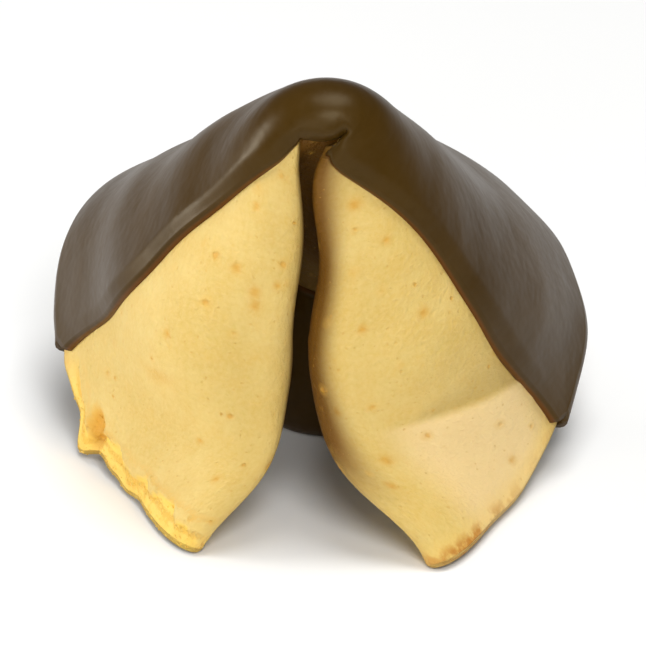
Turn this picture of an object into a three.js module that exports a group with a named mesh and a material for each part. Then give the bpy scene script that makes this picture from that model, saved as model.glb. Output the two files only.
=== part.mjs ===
// A dipped fortune cookie: one thin round wafer, folded in half and bent over at the middle of its fold, and
// the set chocolate that covers its back half, once over the outer layer and once over the inner one.
// Millimetres, +Z up. The cookie stands on its two tips and on the rim of its inner layer. The slit between
// the two folds faces -Y and the open pouch faces +Y.
import * as THREE from "three";

const rad = THREE.MathUtils.degToRad;

// ---- driving sizes --------------------------------------------------------------------------------------
const DISC_RADIUS = 44.8; // the wafer before it is folded
const WALL = 1.8; // wafer thickness
const COAT = 1.05; // chocolate thickness
const LIP = 0.45; // chocolate thickness at its front edge
const CLEARANCE = 0.3; // gap between the solids
const BAND = 8.5; // how far the chocolate runs in at the pouch's mouth
const REST_CUT = 0.35; // depth of the flat spots under the tips
const SKIN_LIFT = 0.3; // height of the outer chocolate clear of the floor

// The bend at the peak, in millimetres.
const NOSE_ROUNDING = 5.5; // how blunt the peak is where the fold line bends over
const NOSE_BREADTH = 1.4; // how much broader the bend is than a plain cone
const CREASE_ROUNDING = 2.2; // how fast the folds sharpen away from the peak
const ARCH_HALF_WIDTH = 1.7; // the slit's half width just under the peak
const ARCH_FADE = 7.5; // distance over which the slit narrows again
const ARCH_LOFT = 1.6; // half the height of the folded band that arches over the slit
const LOFT_FADE = 20; // distance over which that extra height is lost
const THINNING = 0.6; // share of its outside half that the wafer loses under the arch

// What sets the left and right halves apart.
const SHEAR = 0.1; // right half forward, left half back
const SLIT_BOW = 0.45; // how far the slit leans to the left under the peak
const SLIT_BOW_BELOW = 1.95; // and how much more lower down
const TIP_LEAN = 1.6; // how far the right tip is pushed in
const SIDE_LEAN = 0.9; // how far the outer layer hangs to the left at the rim
const HOLLOWS = [
  // where a fold draws back from the slit
  { turn: rad(0), r: 15.5, long: 5, out: 0.4 },
  { turn: rad(180), r: 9.5, long: 4, out: -0.8 },
];
const HOLLOW_WIDE = 0.45; // radians of turn
const BELLY = { r: 36.7, long: 6.6, wide: 0.5, right: 3.6, left: 1.6 }; // how the folds swell towards the gap
const CREST = { turn: rad(65), wide: rad(13), up: 0.5 }; // the right side's fuller upper rim
const SHOULDER = { turn: rad(51), wide: rad(8), inwards: 0.6 }; // and the flatter place beside it

const PUFF_START = 0.55; // share of the radius where the fat folds begin to flatten towards the rim
const SOFTNESS = 2.2; // how much blunter the sheet is that gives the normals to thicken along
const HARMONICS = 24;

const WAFER_COLOUR = 0xe5c46d;
const CHOCOLATE_COLOUR = 0x3a2412;

// Directions from the peak to a closed way round the cookie, in degrees: [angle from straight down towards the
// back, angle to the side]. Each way runs from the fold over the outer layer to its ridge, and back on the
// inner layer from the fold to its trough.
const RIM_WAY = {
  fold: [-15.5, 15.2],
  outer: [
    [-14.5, 18.6], [-6, 22.3], [6, 27.5], [16, 31.5], [27, 33.6],
    [38, 33], [46, 28.8], [52.5, 22], [58, 13], [62, 6],
  ],
  ridge: [63, 0],
  inner: [[-12.5, 16.6], [-4.5, 19.4], [6, 23], [16, 26], [26, 27], [32.5, 23.5], [30.5, 15.5], [24, 7.5]],
  trough: [20.5, 0],
};
const BODY_WAY = {
  fold: [-9, 3.4],
  outer: [
    [-14, 6.3], [-15.5, 13.5], [-13.5, 21], [-9, 28], [-1, 33], [9.5, 36],
    [20.5, 36.5], [31.5, 34.5], [41.5, 30], [49.5, 23.5], [55.5, 15], [59, 7],
  ],
  ridge: [60.5, 0],
  inner: [[-1, 4.8], [6, 9], [13, 15], [20, 20], [28, 21.5], [33, 17.5], [31, 11], [25, 5]],
  trough: [23, 0],
};

// The dents of handling, in the flat wafer's own places, and the waves of the baked sheet.
const DENTS = [
  { deep: 0.75, r: 32.5, long: 3.2, turn: rad(21), wide: 0.26 },
  { deep: 0.4, r: 31, long: 3, turn: rad(151), wide: 0.12 },
];
const WAVE_HEIGHT = 0.13;
const RIPPLE_HEIGHT = 0.09;

// The torn stretch of the rim, low on the left.
const TORN = { turn: rad(151), wide: 0.17, out: 1.3, coarse: 0.55, fine: 0.35 };

// The short stretch of the rim at the inner layer's trough.
const SHORT = { turn: rad(270), wide: 0.5, by: 1.3 };

// ---- the folded sheet -----------------------------------------------------------------------------------
const clamp01 = (x) => Math.min(1, Math.max(0, x));
const smooth = (x) => clamp01(x) ** 2 * (3 - 2 * clamp01(x));
const hump = (x, at, wide) => Math.exp(-(((x - at) / wide) ** 2));
// The way from one turn to another, in radians, the short way round.
const apart = (a, b) => Math.atan2(Math.sin(a - b), Math.cos(a - b));

function direction([back, side]) {
  const b = rad(back);
  const s = rad(side);
  const x = Math.sin(s);
  return new THREE.Vector3(x, Math.cos(s) * Math.sin(b) - SHEAR * x, -Math.cos(s) * Math.cos(b)).normalize();
}

// The slope of a curve through a, b and c at b, where the way from a to b is u long and from b to c v long.
function slopeAt(a, b, c, u, v) {
  const before = b.clone().sub(a).divideScalar(u);
  const across = c.clone().sub(a).divideScalar(u + v);
  const after = c.clone().sub(b).divideScalar(v);
  return before.sub(across).add(after);
}

// Unit directions all the way round, starting at the right fold, and where the four named ones are among them.
function closedWay(way, perSpan = 40) {
  const mirror = ([back, side]) => [back, -side];
  const stops = [
    way.fold, ...way.outer, way.ridge, ...way.outer.map(mirror).reverse(),
    mirror(way.fold), ...way.inner.map(mirror), way.trough, ...[...way.inner].reverse(),
  ].map(direction);
  const n = stops.length;
  const samples = [];
  for (let i = 0; i < n; i++) {
    const [p0, p1, p2, p3] = [-1, 0, 1, 2].map((k) => stops[(i + k + n) % n]);
    const d = p1.distanceTo(p2);
    const leave = slopeAt(p0, p1, p2, p0.distanceTo(p1), d).multiplyScalar(d);
    const arrive = slopeAt(p1, p2, p3, d, p2.distanceTo(p3)).multiplyScalar(d);
    for (let k = 0; k < perSpan; k++) {
      const t = k / perSpan;
      const p = p1.clone().multiplyScalar(1 - smooth(t));
      p.addScaledVector(leave, t * (1 - t) ** 2);
      p.addScaledVector(p2, smooth(t));
      p.addScaledVector(arrive, -(t ** 2) * (1 - t));
      samples.push(p.normalize());
    }
  }
  const half = way.outer.length + 1;
  const quarter = way.inner.length + 1;
  const marks = [0, half, 2 * half, 2 * half + quarter, 2 * half + 2 * quarter].map((m) => m * perSpan);
  return { samples, marks };
}

// Fourier terms of a way whose quarters, between the named directions, each take a quarter of the full turn.
function harmonicsOf(way, steps = 720) {
  const { samples, marks } = closedWay(way);
  const n = samples.length;
  const run = [0];
  for (let i = 0; i < n; i++) run.push(run[i] + samples[i].distanceTo(samples[(i + 1) % n]));
  const turn = [];
  let quarter = 0;
  for (let i = 0; i <= n; i++) {
    while (quarter < 3 && i > marks[quarter + 1]) quarter++;
    const [from, to] = [run[marks[quarter]], run[marks[quarter + 1]]];
    turn.push(((quarter + (run[i] - from) / (to - from)) * Math.PI) / 2);
  }
  const cosine = [];
  const sine = [];
  for (let k = 0; k <= HARMONICS; k++) {
    cosine.push(new THREE.Vector3());
    sine.push(new THREE.Vector3());
  }
  let i = 0;
  for (let s = 0; s < steps; s++) {
    const t = (2 * Math.PI * s) / steps;
    while (turn[i + 1] < t) i++;
    const u = samples[i].clone().lerp(samples[(i + 1) % n], (t - turn[i]) / (turn[i + 1] - turn[i]));
    for (let k = 0; k <= HARMONICS; k++) {
      const share = (k ? 2 : 1) / steps;
      cosine[k].addScaledVector(u, share * Math.cos(k * t));
      sine[k].addScaledVector(u, share * Math.sin(k * t));
    }
  }
  return { cosine, sine };
}
const rimTerms = harmonicsOf(RIM_WAY);
const bodyTerms = harmonicsOf(BODY_WAY);

const UP_THE_NOSE = new THREE.Vector3(0, 0.43, 0.9).normalize();

// The sheet as the two ways give it: a cone whose peak is blunt and whose folds are soft near the peak.
function cone(r, turn, softness) {
  const out = new THREE.Vector3();
  const nose = NOSE_ROUNDING * softness;
  const crease = CREASE_ROUNDING * softness;
  const rim = smooth((r / DISC_RADIUS - PUFF_START) / (1 - PUFF_START));
  const blunt = (x) => Math.hypot(x, nose) - nose;
  const add = (part, k, length) => {
    out.addScaledVector(bodyTerms[part][k], length * (1 - rim));
    out.addScaledVector(rimTerms[part][k], length * rim);
  };
  add("cosine", 0, (blunt(r) * DISC_RADIUS) / blunt(DISC_RADIUS));
  for (let k = 1; k <= HARMONICS; k++) {
    const length = r * Math.exp((-(k * k - 1) * crease ** 2) / (2 * Math.max(r, 1e-6) ** 2));
    add("cosine", k, length * Math.cos(k * turn));
    add("sine", k, length * Math.sin(k * turn));
  }
  return out;
}

// Where the wafer's middle surface lies: r from the peak, turn round it (0 right fold, 90 ridge, 180 left
// fold). Softness above 1 gives the same sheet with a blunter peak, whose normals turn slowly enough to
// thicken along.
function middle(r, turn, softness = 1) {
  const out = cone(r, turn, softness);
  const cos = Math.cos(turn);
  const sin = Math.sin(turn);
  const u = clamp01(r / DISC_RADIUS);

  // the arch over the slit: wider and higher than the plain cone
  const opening = ARCH_HALF_WIDTH * (1 - Math.exp(-r / ARCH_HALF_WIDTH)) * hump(r, 0, ARCH_FADE);
  out.x += opening * cos;
  const loft = ARCH_LOFT * (1 - Math.exp(-r / ARCH_LOFT)) * hump(r, 0, LOFT_FADE);
  const over = Math.max(sin, 0);
  out.addScaledVector(UP_THE_NOSE, loft * (sin - 0.35 * over ** 2));
  if (sin > 0) out.x += 2 * NOSE_BREADTH * (1 - hump(r, 0, 5)) * hump(r, 0, 12) * cos * sin;

  // the slit's lean and what else differs between left and right
  const bow = SLIT_BOW * smooth(r / 8) + SLIT_BOW_BELOW * hump(r, 25.5, 9);
  out.x -= bow * (1 - 0.6 * smooth((u - 0.65) / 0.35)) * Math.exp(-(((sin * sin) / 0.45) ** 2));
  for (const h of HOLLOWS) out.x += h.out * hump(r, h.r, h.long) * hump(apart(turn, h.turn), 0, HOLLOW_WIDE);
  out.x -= TIP_LEAN * u ** 4 * hump(apart(turn, 0), 0, 0.6);
  const belly = cos > 0 ? BELLY.right : BELLY.left;
  out.x -= belly * hump(r, BELLY.r, BELLY.long) * hump(sin, 0, BELLY.wide) * cos;
  if (sin > 0) out.x -= SIDE_LEAN * u * Math.sin(2 * turn) ** 2;
  out.x -= SHOULDER.inwards * u ** 4 * hump(turn, SHOULDER.turn, SHOULDER.wide);
  out.addScaledVector(UP_THE_NOSE, CREST.up * smooth((r - 10) / 10) * hump(turn, CREST.turn, CREST.wide));
  return out;
}

// The sheet's point at a place, with the direction away from the peak and the one out of its outside face.
function frameAt(r, turn) {
  const step = 0.05;
  const swing = step / Math.max(r, 1);
  const away = middle(r + step, turn, SOFTNESS).sub(middle(Math.max(r - step, 0), turn, SOFTNESS)).normalize();
  const round = middle(r, turn + swing, SOFTNESS).sub(middle(r, turn - swing, SOFTNESS));
  return { point: middle(r, turn), away, normal: away.clone().cross(round).normalize() };
}

// Gentle unevenness of the baked sheet, and the dents it got in handling, measured outwards.
function unevenness(r, turn) {
  const x = r * Math.cos(turn);
  const y = r * Math.sin(turn);
  const wave = WAVE_HEIGHT * Math.sin(0.31 * x + 0.8) * Math.sin(0.27 * y + 0.4);
  const ripple = RIPPLE_HEIGHT * Math.sin(0.52 * x - 0.36 * y + 2.1);
  let height = (wave + ripple) * smooth(r / 12);
  for (const d of DENTS) height -= d.deep * hump(r, d.r, d.long) * hump(apart(turn, d.turn), 0, d.wide);
  return height;
}

// The wafer's real radius: not a perfect round, and ragged where it is torn.
function edgeRadius(turn) {
  const round = 0.25 * Math.sin(3 * turn + 0.6) + 0.2 * Math.sin(7 * turn + 1.9);
  const wobble = 0.12 * Math.sin(17 * turn);
  const short = SHORT.by * hump(apart(turn, SHORT.turn), 0, SHORT.wide);
  const rags = TORN.out + TORN.coarse * Math.sin(41 * turn) + TORN.fine * Math.sin(67 * turn + 1);
  return DISC_RADIUS + round + wobble - short + rags * hump(apart(turn, TORN.turn), 0, TORN.wide);
}

// How far the inside face lies from the middle surface: less near the peak and in the pinched tips, where the
// folded walls meet.
function insideDepth(r, turn) {
  const pinch = Math.exp(-((Math.sin(turn) / 0.17) ** 2)) * smooth((r - 26) / 10);
  return clamp01(Math.min(1 - 0.78 * pinch, (r - 4.5) / 6)) * (WALL / 2);
}

// How far the outside face lies from the middle surface: less under the arch, where the sheet turns in tightly.
const underArch = (r, turn) => smooth(-Math.sin(turn) / 0.5) * smooth(r / 2) * (1 - smooth((r - 8) / 8));
const outsideDepth = (r, turn) => (WALL / 2) * (1 - THINNING * underArch(r, turn));

// ---- meshes ---------------------------------------------------------------------------------------------
function solid(name, { points, faces }, colour, roughness) {
  const g = new THREE.BufferGeometry();
  g.setAttribute("position", new THREE.Float32BufferAttribute(points.flatMap((p) => [p.x, p.y, p.z]), 3));
  g.setIndex(faces.flat());
  g.computeVertexNormals();
  const mesh = new THREE.Mesh(g, new THREE.MeshStandardMaterial({ color: colour, roughness, metalness: 0 }));
  mesh.name = name;
  return mesh;
}

const TURNS = 108;
const RINGS = 19;
const RING_CROWD = 1.5; // rings crowd together near the peak

// Turns crowd together where the sheet bends most: at the two folds and along the inner layer's two bends.
function crowdedTurns() {
  const STEPS = 3600;
  const INNER_BENDS = [rad(239), rad(301)];
  const sum = [0];
  for (let i = 0; i < STEPS; i++) {
    const t = (2 * Math.PI * (i + 0.5)) / STEPS;
    const folds = 1.3 * Math.exp(-((Math.sin(t) / 0.3) ** 2));
    const bends = INNER_BENDS.reduce((total, at) => total + 0.9 * hump(apart(t, at), 0, 0.25), 0);
    sum.push(sum[i] + 1 + folds + bends);
  }
  const turns = [];
  let i = 0;
  for (let j = 0; j < TURNS; j++) {
    const want = (sum[STEPS] * j) / TURNS;
    while (sum[i + 1] < want) i++;
    turns.push((2 * Math.PI * (i + (want - sum[i]) / (sum[i + 1] - sum[i]))) / STEPS);
  }
  return turns;
}
const turns = crowdedTurns();

function waferMesh() {
  const FACE = 1 + RINGS * TURNS; // points on one face of the wafer
  const points = [];
  const faces = [];
  for (const inside of [0, 1]) {
    points.push(middle(0, 0).addScaledVector(frameAt(0.3, rad(90)).normal, inside ? 0 : WALL / 2));
    for (let i = 1; i <= RINGS; i++)
      for (const turn of turns) {
        const r = edgeRadius(turn) * (i / RINGS) ** RING_CROWD;
        const f = frameAt(r, turn);
        const thin = 1 - 0.22 * smooth((i / RINGS - 0.86) / 0.14);
        const depth = inside ? -insideDepth(r, turn) : outsideDepth(r, turn);
        points.push(f.point.addScaledVector(f.normal, unevenness(r, turn) + depth * thin));
      }
  }
  const lip = points.length; // the rounded edge between the two faces
  for (const turn of turns) {
    const r = edgeRadius(turn);
    const f = frameAt(r, turn);
    points.push(f.point.addScaledVector(f.normal, unevenness(r, turn)).addScaledVector(f.away, 0.32 * WALL));
  }
  const at = (inside, i, j) => inside * FACE + 1 + (i - 1) * TURNS + j;
  for (let j = 0; j < TURNS; j++) {
    const k = (j + 1) % TURNS;
    faces.push([0, at(0, 1, j), at(0, 1, k)], [FACE, at(1, 1, k), at(1, 1, j)]);
    for (let i = 1; i < RINGS; i++) {
      const [a, b, c, d] = [at(0, i, j), at(0, i + 1, j), at(0, i + 1, k), at(0, i, k)];
      faces.push([a, b, c], [a, c, d]);
      const [e, f, g, h] = [at(1, i, j), at(1, i + 1, j), at(1, i + 1, k), at(1, i, k)];
      faces.push([e, g, f], [e, h, g]);
    }
    faces.push([at(0, RINGS, j), lip + j, lip + k], [at(0, RINGS, j), lip + k, at(0, RINGS, k)]);
    faces.push([lip + j, at(1, RINGS, j), at(1, RINGS, k)], [lip + j, at(1, RINGS, k), lip + k]);
  }
  return { points, faces };
}

// The chocolate's front edge on the flat wafer: how far it lies towards the ridge, at x to the side. It leaves
// the arch as a soft step and then runs on at a slope; beside the arch it keeps clear of the right fold's bend.
const DIP_LEFT = { slope: 0.85, step: 5.4, wide: 12.2, onset: 2.1, clear: 0 };
const DIP_RIGHT = { slope: 0.38, step: 12.3, wide: 14.8, onset: 1.92, clear: 2 };
function dipLine(x) {
  const dip = x < 0 ? DIP_LEFT : DIP_RIGHT;
  const u = Math.abs(x);
  const rise = dip.step * (1 - Math.exp(-((u / dip.wide) ** dip.onset)));
  const beside = dip.clear * hump(u, 4, 2.5);
  return -3.4 + hump(u, 0, 4) + dip.slope * (Math.hypot(u, 4) - 4) + rise + beside;
}
// The same on the inner layer, towards the trough.
const innerDipLine = (x) => 27 + 0.07 * Math.abs(x) + 0.4 * Math.sin(0.5 * x + 1);

const OUTER_COAT = {
  line: dipLine, half: 1, from: -33.8, to: 38.2,
  columns: 38, rows: 15, crowd: 0.09, rowCrowd: 1.8,
};
const INNER_COAT = {
  line: innerDipLine, half: -1, from: -31, to: 31,
  columns: 22, rows: 6, crowd: 0.04, rowCrowd: 1,
};

// The section of a coat at x across the wafer: a way over its outer face and one over its inner face, both from
// the front edge over the outside, round the rim and in at the mouth. Nearness is 0 at the coat's two ends.
function coatSection(coat, x, nearness) {
  const WRAP = 4; // steps round the rim
  const INSIDE = 4; // steps in at the mouth
  const taper = smooth(nearness / 0.3);
  const full = LIP + (COAT - LIP) * smooth(nearness / 0.12);
  const skinInside = 0.35 + 0.45 * taper;
  const front = coat.line(x);
  const top = Math.sqrt(DISC_RADIUS ** 2 - x * x);
  const at = (y) => {
    const turn = Math.atan2(coat.half * y, x);
    const reach = Math.hypot(x, y);
    const ragged = smooth((reach / DISC_RADIUS - 0.8) / 0.2);
    const r = reach * (1 + (edgeRadius(turn) / DISC_RADIUS - 1) * ragged);
    const f = frameAt(r, turn);
    f.point.addScaledVector(f.normal, unevenness(r, turn));
    f.stand = outsideDepth(r, turn) + CLEARANCE + 0.6 * hump(r, 0, 5);
    f.share = 1 - THINNING * underArch(r, turn);
    return f;
  };
  const outer = [];
  const inner = [];
  const put = (f, normal, away, thickness) => {
    for (const [way, skin] of [[outer, thickness * (normal > 0 ? f.share : 1)], [inner, 0]]) {
      const p = f.point.clone().addScaledVector(f.normal, normal * (f.stand + skin));
      way.push(p.addScaledVector(f.away, away * (f.stand + skin)));
    }
  };
  for (let i = 0; i <= coat.rows; i++) {
    const y = front + (top - front) * (i / coat.rows) ** coat.rowCrowd;
    put(at(y), 1, 0, LIP + (full - LIP) * smooth((y - front) / 2.2));
  }
  const rim = at(top);
  for (let k = 1; k < WRAP; k++) {
    const a = (Math.PI * k) / WRAP;
    put(rim, Math.cos(a), Math.sin(a), full + (skinInside - full) * (k / WRAP));
  }
  const band = Math.min(1.2 + (BAND - 1.2) * taper, 0.8 * (top - front) + 0.6);
  for (let i = 0; i <= INSIDE; i++)
    put(at(top - (band * i) / INSIDE), -1, 0, i === INSIDE ? 0.6 * skinInside : skinInside);
  return { outer, inner };
}

// A skin over one half of the wafer: sections in columns across it, joined into one closed body.
function coatMesh(coat) {
  const points = [];
  const faces = [];
  const { columns } = coat;
  let n = 0;
  for (let c = 0; c <= columns; c++) {
    const t = c / columns;
    const x = coat.from + (coat.to - coat.from) * (t + coat.crowd * Math.sin(2 * Math.PI * t));
    const { outer, inner } = coatSection(coat, x, Math.min(t, 1 - t));
    n = outer.length;
    points.push(...outer, ...inner);
  }
  const o = (c, i) => c * 2 * n + i;
  const q = (c, i) => o(c, i) + n;
  const quad = (a, b, c, d) => faces.push([a, b, c], [a, c, d]);
  for (let c = 0; c < columns; c++) {
    for (let i = 0; i < n - 1; i++) {
      quad(o(c, i), o(c + 1, i), o(c + 1, i + 1), o(c, i + 1));
      quad(q(c, i), q(c, i + 1), q(c + 1, i + 1), q(c + 1, i));
    }
    quad(o(c, 0), q(c, 0), q(c + 1, 0), o(c + 1, 0));
    quad(o(c, n - 1), o(c + 1, n - 1), q(c + 1, n - 1), q(c, n - 1));
  }
  for (let i = 0; i < n - 1; i++) {
    quad(o(0, i), o(0, i + 1), q(0, i + 1), q(0, i));
    quad(o(columns, i), q(columns, i), q(columns, i + 1), o(columns, i + 1));
  }
  if (coat.half < 0) faces.forEach((f) => f.reverse());
  return { points, faces };
}

// ---- stand it on the floor ------------------------------------------------------------------------------
const wafer = waferMesh();
const dome = coatMesh(OUTER_COAT);
const trough = coatMesh(INNER_COAT);
const boxOf = (...meshes) => new THREE.Box3().setFromPoints(meshes.flatMap((m) => m.points));
const middleOfAll = boxOf(wafer, dome).getCenter(new THREE.Vector3());
const origin = new THREE.Vector3(middleOfAll.x, middleOfAll.y, boxOf(wafer).min.z + REST_CUT);
for (const [mesh, lowest] of [[wafer, 0], [dome, SKIN_LIFT], [trough, 0]])
  for (const p of mesh.points) {
    p.sub(origin);
    p.z = Math.max(p.z, lowest);
  }

const cookie = new THREE.Group();
cookie.name = "fortune_cookie";
cookie.add(solid("wafer", wafer, WAFER_COLOUR, 0.72));
cookie.add(solid("chocolate_dome", dome, CHOCOLATE_COLOUR, 0.36));
cookie.add(solid("chocolate_inner", trough, CHOCOLATE_COLOUR, 0.36));
export default cookie;
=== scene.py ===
# %% [markdown]
# # A fortune cookie dipped in dark chocolate
# The real thing is one thin round wafer. It is folded in half while it is warm, bent over at the middle of its
# fold, and dipped back first into melted chocolate. The fixed model is loaded first, because it gives the
# place and size of everything. The looks are then built round it, in metres, with the same numbers.

import math
from math import pi, radians

import bpy
import numpy as np
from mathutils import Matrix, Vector


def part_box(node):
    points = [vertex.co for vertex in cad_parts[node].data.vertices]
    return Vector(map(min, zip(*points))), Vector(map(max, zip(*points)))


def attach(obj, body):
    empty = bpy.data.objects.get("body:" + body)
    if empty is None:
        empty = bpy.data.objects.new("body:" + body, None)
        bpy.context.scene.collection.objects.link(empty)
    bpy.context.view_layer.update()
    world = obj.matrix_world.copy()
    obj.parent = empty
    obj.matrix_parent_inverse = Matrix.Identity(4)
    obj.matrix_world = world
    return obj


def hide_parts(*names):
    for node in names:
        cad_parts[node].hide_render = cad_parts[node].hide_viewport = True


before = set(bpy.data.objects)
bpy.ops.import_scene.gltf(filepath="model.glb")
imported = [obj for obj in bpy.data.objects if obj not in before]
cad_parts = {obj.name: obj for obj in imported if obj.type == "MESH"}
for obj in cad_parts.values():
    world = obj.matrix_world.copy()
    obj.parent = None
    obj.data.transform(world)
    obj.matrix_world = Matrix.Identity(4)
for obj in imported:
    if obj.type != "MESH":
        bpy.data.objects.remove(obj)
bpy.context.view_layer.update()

# %% [markdown]
# ## The sizes of the wafer
# All of them are in millimetres, because a baker's sizes are easier to read that way. The mesh is turned into
# metres only at the very end. A flat place on the wafer is given by its distance from the middle and by the
# turn round it: 0 is the right fold, 90 degrees the ridge at the back, 180 the left fold, 270 the inner layer.

# %% Sizes and small helpers
MM = 0.001
DISC_RADIUS = 44.8
WALL = 1.8
CLEARANCE = 0.3


def smooth(x):
    """0 below 0, 1 above 1, and a soft S between."""
    t = np.clip(x, 0, 1)
    return t * t * (3 - 2 * t)


def hump(x, at, wide):
    """A soft bell round a place."""
    return np.exp(-(((x - at) / wide) ** 2))


def apart(a, b):
    """The way from one turn to another, in radians, the short way round."""
    return np.arctan2(np.sin(a - b), np.cos(a - b))


def unit(v):
    return v / np.linalg.norm(v, axis=1)[:, None]


print("flat wafer, mm across:", 2 * DISC_RADIUS)

# %% [markdown]
# ## The folded sheet
# Paper and warm wafer bend, but hardly stretch, so a folded disc is close to a cone: every straight line from
# the peak stays straight. Such a sheet is given by one closed way of directions, here one for the fat body and
# one for the flatter rim. Smooth waves (a Fourier series) run through them, so that near the peak the short
# waves can be faded out: a real fold can't be sharper than the wafer is thick.

# %% The two ways of directions
HARMONICS = 24
SHEAR = 0.1
RIM_WAY = {
    "fold": [-15.5, 15.2],
    "outer": [[-14.5, 18.6], [-6, 22.3], [6, 27.5], [16, 31.5], [27, 33.6],
              [38, 33], [46, 28.8], [52.5, 22], [58, 13], [62, 6]],
    "ridge": [63, 0],
    "inner": [[-12.5, 16.6], [-4.5, 19.4], [6, 23], [16, 26], [26, 27], [32.5, 23.5], [30.5, 15.5], [24, 7.5]],
    "trough": [20.5, 0],
}
BODY_WAY = {
    "fold": [-9, 3.4],
    "outer": [[-14, 6.3], [-15.5, 13.5], [-13.5, 21], [-9, 28], [-1, 33], [9.5, 36],
              [20.5, 36.5], [31.5, 34.5], [41.5, 30], [49.5, 23.5], [55.5, 15], [59, 7]],
    "ridge": [60.5, 0],
    "inner": [[-1, 4.8], [6, 9], [13, 15], [20, 20], [28, 21.5], [33, 17.5], [31, 11], [25, 5]],
    "trough": [23, 0],
}


def direction(back, side):
    """The unit way from the peak that leans back and to the side by these degrees, from straight down."""
    b, s = radians(back), radians(side)
    x = math.sin(s)
    v = np.array([x, math.cos(s) * math.sin(b) - SHEAR * x, -math.cos(s) * math.cos(b)])
    return v / np.linalg.norm(v)


def closed_way(way, per_span=40):
    """Unit directions all the way round, and where the four named ones are among them."""
    mirror = lambda stop: [stop[0], -stop[1]]
    stops = [way["fold"], *way["outer"], way["ridge"], *map(mirror, way["outer"][::-1]),
             mirror(way["fold"]), *map(mirror, way["inner"]), way["trough"], *way["inner"][::-1]]
    p = np.array([direction(*s) for s in stops])
    before, after = np.roll(p, 1, 0), np.roll(p, -1, 0)
    u, v = (np.linalg.norm(p - q, axis=1)[:, None] for q in (before, after))
    slope = (p - before) / u - (after - before) / (u + v) + (after - p) / v
    t = (np.arange(per_span) / per_span)[None, :, None]
    lift = smooth(t)
    a, b, d = p[:, None], after[:, None], v[:, None]
    curve = a * (1 - lift) + slope[:, None] * d * t * (1 - t) ** 2
    curve = curve + b * lift - np.roll(slope, -1, 0)[:, None] * d * t**2 * (1 - t)
    half, quarter = len(way["outer"]) + 1, len(way["inner"]) + 1
    marks = np.array([0, half, 2 * half, 2 * half + quarter, 2 * half + 2 * quarter]) * per_span
    return unit(curve.reshape(-1, 3)), marks


def waves_of(way, steps=720):
    """The waves of a way whose quarters, between the named directions, each take a quarter of the turn."""
    points, marks = closed_way(way)
    step = np.linalg.norm(np.roll(points, -1, 0) - points, axis=1)
    run = np.concatenate([[0], np.cumsum(step)])
    turn = np.interp(run, run[marks], np.arange(5) * pi / 2)
    closed = np.vstack([points, points[:1]])
    t = 2 * pi * np.arange(steps) / steps
    u = np.stack([np.interp(t, turn, closed[:, i]) for i in range(3)], 1)
    k = np.arange(HARMONICS + 1)[:, None]
    share = np.where(k == 0, 1, 2) / steps
    return share * np.cos(k * t) @ u, share * np.sin(k * t) @ u


BODY_WAVES = waves_of(BODY_WAY)
RIM_WAVES = waves_of(RIM_WAY)
print("waves in each way:", HARMONICS)

# %% [markdown]
# ## From directions to a surface
# The cone is laid out, then bent into the small departures that make it a real cookie: the arch over the slit,
# a slit that bows to one side, a right tip that is pushed in. The normals come from a blunter copy of the same
# sheet. They turn slowly, so a thick wall that grows along them never folds over itself.

# %% The middle of the wafer's wall
SOFTNESS = 2.2
NOSE_ROUNDING, CREASE_ROUNDING, PUFF_START = 5.5, 2.2, 0.55
# The arch over the slit: half its width, its height, its lean to the left, and how far each one reaches.
ARCH_HALF_WIDTH, ARCH_FADE = 1.7, 7.5
ARCH_LOFT, LOFT_FADE = 1.6, 20
ARCH_LEFTWARD, LEFTWARD_AT = 0.9, 5
NOSE_BREADTH, NOSE_LONG = 1.4, 12
# The slit bows to the left, most of all below its middle.
SLIT_BOW, SLIT_BOW_BELOW, BOW_AT, BOW_LONG = 0.45, 1.95, 25.5, 9
# Pushes to the right on one fold: how far, at what distance from the peak, over what length, on which fold.
FOLD_PUSHES, PUSH_WIDE = [(0.4, 17, 5, 0), (0.4, 4.6, 2.2, pi), (-0.9, 12, 7, pi)], 0.45
RIGHT_CLOSE, CLOSE_AT, CLOSE_LONG, CLOSE_WIDE = 1.3, 9.5, 8, 0.35
TIP_LEAN, SIDE_LEAN = 1.6, 0.9
BELLY_RIGHT, BELLY_LEFT, BELLY_AT, BELLY_LONG = 3.6, 1.6, 36.7, 6.6
SHOULDER_IN, SHOULDER_TURN, SHOULDER_WIDE = 0.6, radians(51), radians(8)
# Soft crests along the shoulders: their turns and heights.
CRESTS, CREST_WIDE = [(radians(65), 0.5), (radians(121), 1.5)], radians(13)
UP_THE_NOSE = np.array([0, 0.43, 0.9]) / math.hypot(0.43, 0.9)


def cone(r, turn, softness):
    """The sheet as the two ways give it, with a blunt peak and folds that are soft near the peak."""
    nose, crease = NOSE_ROUNDING * softness, CREASE_ROUNDING * softness
    blunt = lambda x: np.hypot(x, nose) - nose
    k = np.arange(HARMONICS + 1)
    length = r[:, None] * np.exp(-(k**2 - 1) * crease**2 / (2 * np.maximum(r, 1e-6)[:, None] ** 2))
    length[:, 0] = blunt(r) * DISC_RADIUS / blunt(DISC_RADIUS)
    even, odd = length * np.cos(k * turn[:, None]), length * np.sin(k * turn[:, None])
    rim = smooth((r / DISC_RADIUS - PUFF_START) / (1 - PUFF_START))[:, None]
    body = even @ BODY_WAVES[0] + odd @ BODY_WAVES[1]
    return body * (1 - rim) + (even @ RIM_WAVES[0] + odd @ RIM_WAVES[1]) * rim


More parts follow.
